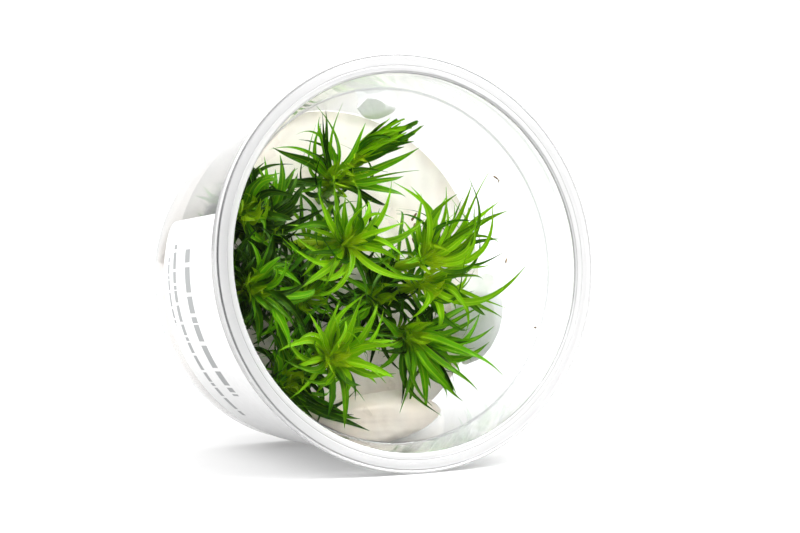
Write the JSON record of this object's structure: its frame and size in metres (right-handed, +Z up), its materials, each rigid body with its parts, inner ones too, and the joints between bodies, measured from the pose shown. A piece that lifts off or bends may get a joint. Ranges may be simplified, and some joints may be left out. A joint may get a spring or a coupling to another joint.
{
  "type": "tissue culture eriocaulon in a clear cup",
  "caption": "Rosette aquarium plantlets on culture gel in a clear snap-lid cup, lying on its side.",
  "frame": {"origin": "middle of the bounding box, on the surface that the cup lies on", "axes": "+Z up; the lid and mouth face -Y, so the cup's axis runs back along +Y and 7.9 degrees down; +X to the right as seen from the lid"},
  "size_m": [0.0996, 0.0758, 0.0987],
  "materials": {
    "cup_plastic": "clear, slightly milky thin moulded plastic",
    "lid_plastic": "clear moulded plastic, milky at the rim",
    "label_paper": "satin white paper",
    "culture_gel": "cloudy cream agar gel",
    "bright_leaf": "glossy yellow-green young leaves",
    "dark_leaf": "glossy deep green leaves",
    "dead_crown": "dry brown plant tissue"
  },
  "bodies": {
    "root": {"cup": "cup_plastic", "lid": "lid_plastic", "label": "label_paper", "gel": "culture_gel", "gel_chunk_right": "culture_gel", "gel_chunk_low": "culture_gel", "gel_bit_top": "culture_gel", "root_crown": "dead_crown", "plantlet_front": "bright_leaf", "plantlet_right_upper": "bright_leaf", "plantlet_right_lower": "bright_leaf", "plantlet_low": "bright_leaf", "plantlet_dark": "dark_leaf", "plantlet_high": "dark_leaf", "plantlet_closed": "dark_leaf", "plantlet_left": "dark_leaf", "plantlet_left_upper": "dark_leaf", "plantlet_left_wall": "dark_leaf", "plantlet_low_left": "dark_leaf", "plantlet_back_centre": "dark_leaf", "plantlet_back_left": "dark_leaf"}
  },
  "joints": []
}
